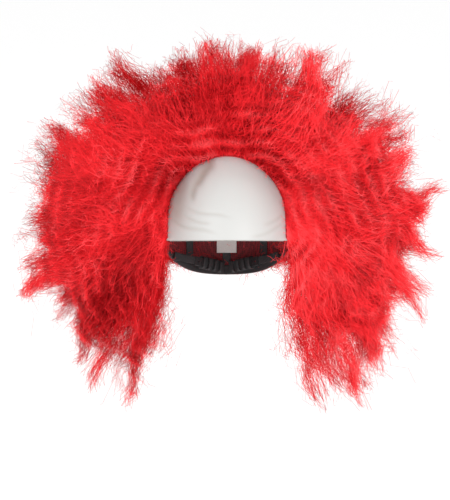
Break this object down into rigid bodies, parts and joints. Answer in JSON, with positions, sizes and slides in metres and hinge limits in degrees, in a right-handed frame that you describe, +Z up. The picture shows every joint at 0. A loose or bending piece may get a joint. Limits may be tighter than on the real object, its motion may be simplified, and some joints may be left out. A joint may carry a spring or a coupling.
{
  "type": "costume wig",
  "caption": "Costume wig: a smooth white bald forehead panel in front of a wefted cap with very full, crimped red hair, and hook-and-loop-tape size adjusters at the nape.",
  "frame": {"origin": "middle of the head opening, level with the wearer's eyes and with the tops of the ears, on the wig's middle plane", "axes": "+Z up through the crown, -Y towards the front (the bald forehead panel), +X to the wearer's left (the right-hand side as seen from the front)"},
  "size_m": [0.4794, 0.3046, 0.4159],
  "materials": {
    "forehead_fabric": "matte",
    "binding_tape": "matte",
    "net_fabric": "matte",
    "elastic_band": "matte",
    "weft_stitching": "matte",
    "hair_fibre": "satin",
    "tab_velvet": "matte",
    "stay_plastic": "satin",
    "loop_webbing": "matte",
    "strap_elastic": "matte",
    "hook_plastic": "satin",
    "label_fabric": "satin"
  },
  "bodies": {
    "wig": {"bald_front": "forehead_fabric", "front_hem": "forehead_fabric", "hairline_binding": "binding_tape", "crown_net": "net_fabric", "nape_band": "elastic_band", "centre_tape": "elastic_band", "hairline_weft": "weft_stitching", "care_label": "label_fabric", "weft_row_1": "weft_stitching", "weft_row_2": "weft_stitching", "weft_row_3": "weft_stitching", "weft_row_4": "weft_stitching", "weft_row_5": "weft_stitching", "weft_row_6": "weft_stitching", "weft_row_7": "weft_stitching", "side_tape_left": "elastic_band", "ear_band_left": "elastic_band", "temple_wefts_left": "weft_stitching", "ear_tab_left": "tab_velvet", "ear_stay_left": "stay_plastic", "loop_tape_left": "loop_webbing", "elastic_strap_left": "strap_elastic", "crown_front_left": "hair_fibre", "crown_back_left": "hair_fibre", "upper_side_left": "hair_fibre", "upper_back_left": "hair_fibre", "puff_front_left": "hair_fibre", "puff_rear_left": "hair_fibre", "puff_back_left": "hair_fibre", "fall_front_left": "hair_fibre", "fall_rear_left": "hair_fibre", "fall_back_left": "hair_fibre", "lock_front_left": "hair_fibre", "lock_rear_left": "hair_fibre", "side_tape_right": "elastic_band", "ear_band_right": "elastic_band", "temple_wefts_right": "weft_stitching", "ear_tab_right": "tab_velvet", "ear_stay_right": "stay_plastic", "loop_tape_right": "loop_webbing", "elastic_strap_right": "strap_elastic", "crown_front_right": "hair_fibre", "crown_back_right": "hair_fibre", "upper_side_right": "hair_fibre", "upper_back_right": "hair_fibre", "puff_front_right": "hair_fibre", "puff_rear_right": "hair_fibre", "puff_back_right": "hair_fibre", "fall_front_right": "hair_fibre", "fall_rear_right": "hair_fibre", "fall_back_right": "hair_fibre", "lock_front_right": "hair_fibre", "lock_rear_right": "hair_fibre"},
    "hook_left": {"strap_hook_left": "hook_plastic"},
    "hook_right": {"strap_hook_right": "hook_plastic"}
  },
  "joints": [
    {"name": "hook_slide_left", "type": "slide", "parent": "wig", "child": "hook_left", "axis": [-0.8393, 0.4247, -0.3394], "range_m": [0, 0.024], "deforming": ["elastic_strap_left"]},
    {"name": "hook_slide_right", "type": "slide", "parent": "wig", "child": "hook_right", "axis": [0.8393, 0.4247, -0.3394], "range_m": [0, 0.024], "deforming": ["elastic_strap_right"]}
  ]
}
